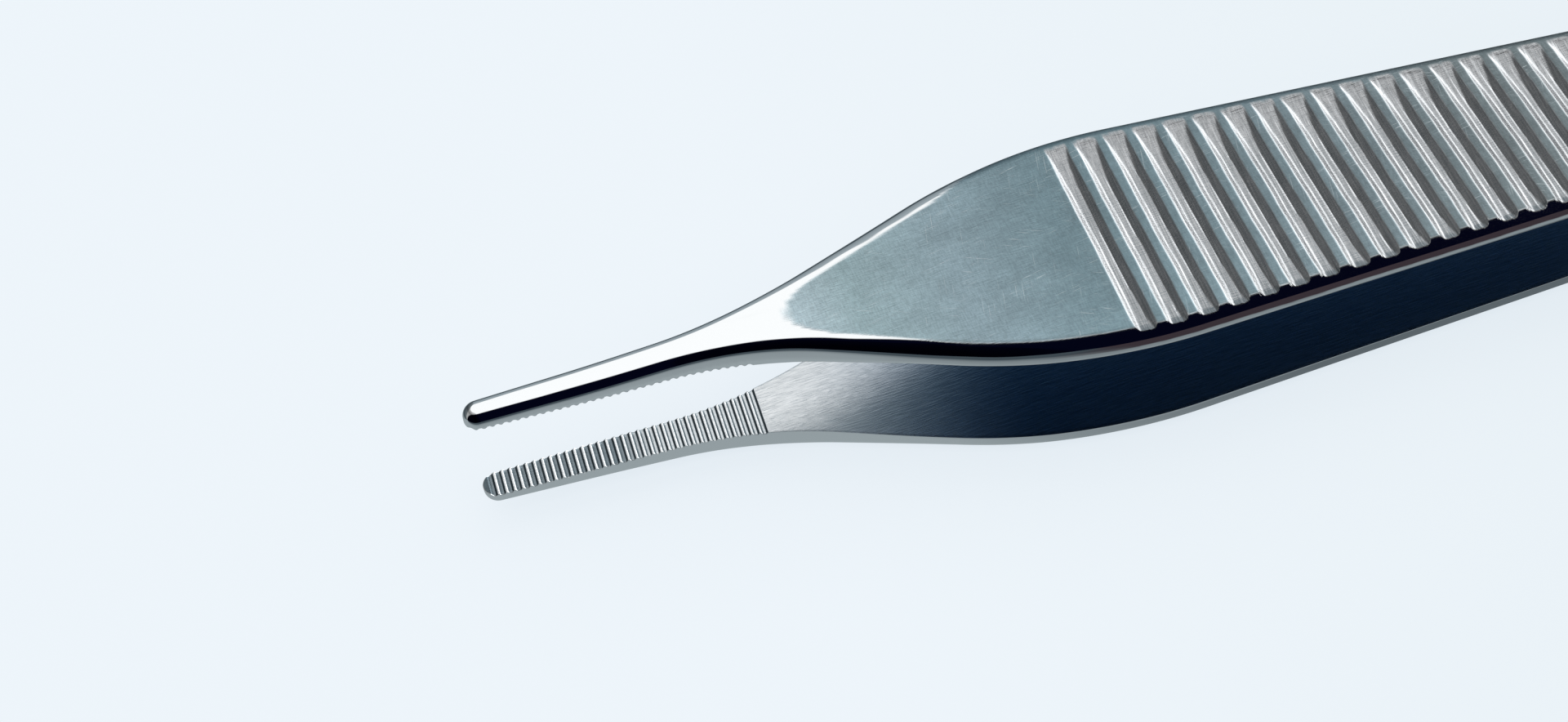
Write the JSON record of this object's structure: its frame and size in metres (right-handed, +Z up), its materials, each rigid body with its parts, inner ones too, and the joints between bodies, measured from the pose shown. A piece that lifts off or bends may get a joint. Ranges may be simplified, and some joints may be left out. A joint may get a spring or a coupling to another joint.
{
  "type": "thumb forceps",
  "caption": "Straight dressing thumb forceps with slim serrated jaws, flared grip plates with cross flutes, and two spring arms welded face to face at the heel.",
  "frame": {"origin": "bottom centre of the bounding box, on the surface that the lower grip plate lies on", "axes": "+X from the jaw tips to the welded heel, +Y across the grip plates, +Z up from the lower arm to the upper arm"},
  "size_m": [0.12, 0.0134, 0.0078],
  "materials": {
    "steel": "satin plates, polished jaws and edges"
  },
  "bodies": {
    "root": {"upper_arm": "steel", "lower_arm": "steel"}
  },
  "joints": []
}
